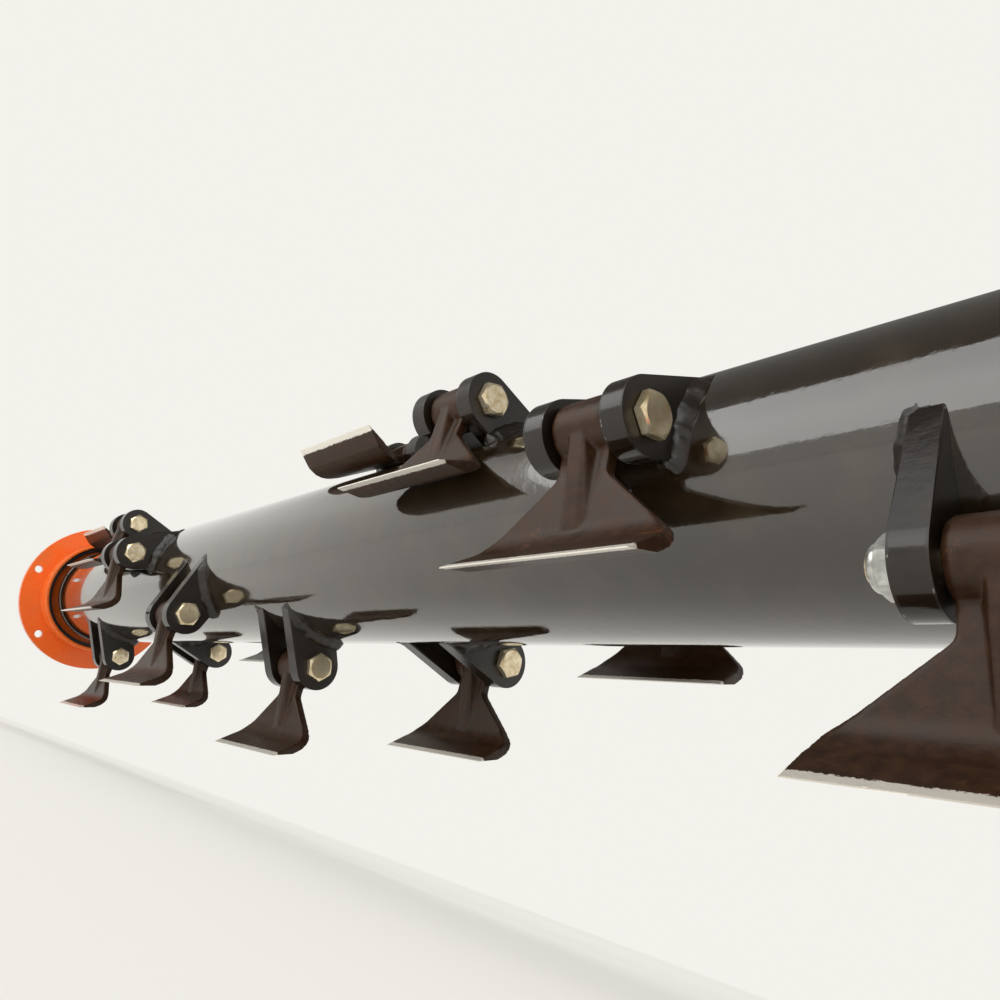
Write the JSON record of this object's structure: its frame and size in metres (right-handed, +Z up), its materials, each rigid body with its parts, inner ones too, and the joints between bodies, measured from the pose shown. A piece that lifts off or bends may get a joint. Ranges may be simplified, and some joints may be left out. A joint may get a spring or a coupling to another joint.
{
  "type": "mulcher flail rotor",
  "caption": "Tubular mulcher rotor with welded lug pairs, swinging mallet hammers on hinge bolts, stub shafts, and a flanged bearing unit with a guard collar at each end.",
  "frame": {"origin": "on the rotor's axis, at the face where the plain end's carrier seats on the machine's side plate (the bolt circle's centre)", "axes": "+X along the rotor from the plain end to the drive end, the machine's front at -Y, +Z up"},
  "size_m": [1.894, 0.27, 0.3394],
  "materials": {
    "drum_paint": "gloss black enamel",
    "hammer_coat": "satin black over a forged skin, with ground bare edges",
    "bolt_zinc": "yellow zinc",
    "nut_zinc": "bright zinc",
    "shaft_steel": "turned and ground",
    "guard_paint": "gloss orange",
    "seal_paint": "satin black",
    "housing_paint": "painted casting",
    "race_steel": "ground bearing steel"
  },
  "bodies": {
    "left_bearing_unit": {"left_carrier": "guard_paint", "left_guard_collar": "guard_paint", "left_seal_ring": "seal_paint", "left_bearing_housing": "housing_paint", "left_outer_race": "race_steel", "left_housing_bolts": "nut_zinc"},
    "rotor": {"drum_tube": "drum_paint", "left_end_disc": "drum_paint", "right_end_disc": "drum_paint", "left_stub_shaft": "shaft_steel", "right_stub_shaft": "shaft_steel", "left_inner_race": "race_steel", "right_inner_race": "race_steel", "lugs": "drum_paint", "hinge_bolts": "bolt_zinc", "hinge_nuts": "nut_zinc"},
    "right_bearing_unit": {"right_carrier": "guard_paint", "right_guard_collar": "guard_paint", "right_seal_ring": "seal_paint", "right_bearing_housing": "housing_paint", "right_outer_race": "race_steel", "right_housing_bolts": "nut_zinc"},
    "hammer_01": {"hammer_01": "hammer_coat"},
    "hammer_02": {"hammer_02": "hammer_coat"},
    "hammer_03": {"hammer_03": "hammer_coat"},
    "hammer_04": {"hammer_04": "hammer_coat"},
    "hammer_05": {"hammer_05": "hammer_coat"},
    "hammer_06": {"hammer_06": "hammer_coat"},
    "hammer_07": {"hammer_07": "hammer_coat"},
    "hammer_08": {"hammer_08": "hammer_coat"},
    "hammer_09": {"hammer_09": "hammer_coat"},
    "hammer_10": {"hammer_10": "hammer_coat"},
    "hammer_11": {"hammer_11": "hammer_coat"},
    "hammer_12": {"hammer_12": "hammer_coat"},
    "hammer_13": {"hammer_13": "hammer_coat"},
    "hammer_14": {"hammer_14": "hammer_coat"},
    "hammer_15": {"hammer_15": "hammer_coat"},
    "hammer_16": {"hammer_16": "hammer_coat"}
  },
  "joints": [
    {"name": "rotor_spin", "type": "hinge", "parent": "left_bearing_unit", "child": "rotor", "pos_m": [0, 0, 0], "axis": [-1, 0, 0], "continuous": true},
    {"name": "right_bearing_spin", "type": "hinge", "parent": "rotor", "child": "right_bearing_unit", "pos_m": [1.699, 0, 0], "axis": [-1, 0, 0], "continuous": true},
    {"name": "hammer_01_swing", "type": "hinge", "parent": "rotor", "child": "hammer_01", "pos_m": [0.152, -0.01365, 0.11117], "axis": [-1, 0, 0], "range_deg": [0, 215]},
    {"name": "hammer_02_swing", "type": "hinge", "parent": "rotor", "child": "hammer_02", "pos_m": [0.245, 0.01365, -0.11117], "axis": [-1, 0, 0], "range_deg": [-124.16, 90.84]},
    {"name": "hammer_03_swing", "type": "hinge", "parent": "rotor", "child": "hammer_03", "pos_m": [0.338, -0.08826, 0.06895], "axis": [-1, 0, 0], "range_deg": [0, 215]},
    {"name": "hammer_04_swing", "type": "hinge", "parent": "rotor", "child": "hammer_04", "pos_m": [0.431, 0.08826, -0.06895], "axis": [-1, 0, 0], "range_deg": [-169.16, 45.84]},
    {"name": "hammer_05_swing", "type": "hinge", "parent": "rotor", "child": "hammer_05", "pos_m": [0.524, -0.11117, -0.01365], "axis": [-1, 0, 0], "range_deg": [-34.16, 180.84]},
    {"name": "hammer_06_swing", "type": "hinge", "parent": "rotor", "child": "hammer_06", "pos_m": [0.617, 0.11117, 0.01365], "axis": [-1, 0, 0], "range_deg": [-214.16, 0.84]},
    {"name": "hammer_07_swing", "type": "hinge", "parent": "rotor", "child": "hammer_07", "pos_m": [0.71, -0.06895, -0.08826], "axis": [-1, 0, 0], "range_deg": [-79.16, 135.84]},
    {"name": "hammer_08_swing", "type": "hinge", "parent": "rotor", "child": "hammer_08", "pos_m": [0.803, 0.06895, 0.08826], "axis": [-1, 0, 0], "range_deg": [-215, 0]},
    {"name": "hammer_09_swing", "type": "hinge", "parent": "rotor", "child": "hammer_09", "pos_m": [0.896, 0.01365, -0.11117], "axis": [-1, 0, 0], "range_deg": [-124.16, 90.84]},
    {"name": "hammer_10_swing", "type": "hinge", "parent": "rotor", "child": "hammer_10", "pos_m": [0.989, -0.01365, 0.11117], "axis": [-1, 0, 0], "range_deg": [0, 215]},
    {"name": "hammer_11_swing", "type": "hinge", "parent": "rotor", "child": "hammer_11", "pos_m": [1.082, 0.08826, -0.06895], "axis": [-1, 0, 0], "range_deg": [-169.16, 45.84]},
    {"name": "hammer_12_swing", "type": "hinge", "parent": "rotor", "child": "hammer_12", "pos_m": [1.175, -0.08826, 0.06895], "axis": [-1, 0, 0], "range_deg": [0, 215]},
    {"name": "hammer_13_swing", "type": "hinge", "parent": "rotor", "child": "hammer_13", "pos_m": [1.268, 0.11117, 0.01365], "axis": [-1, 0, 0], "range_deg": [-214.16, 0.84]},
    {"name": "hammer_14_swing", "type": "hinge", "parent": "rotor", "child": "hammer_14", "pos_m": [1.361, -0.11117, -0.01365], "axis": [-1, 0, 0], "range_deg": [-34.16, 180.84]},
    {"name": "hammer_15_swing", "type": "hinge", "parent": "rotor", "child": "hammer_15", "pos_m": [1.454, 0.06895, 0.08826], "axis": [-1, 0, 0], "range_deg": [-215, 0]},
    {"name": "hammer_16_swing", "type": "hinge", "parent": "rotor", "child": "hammer_16", "pos_m": [1.547, -0.06895, -0.08826], "axis": [-1, 0, 0], "range_deg": [-79.16, 135.84]}
  ]
}
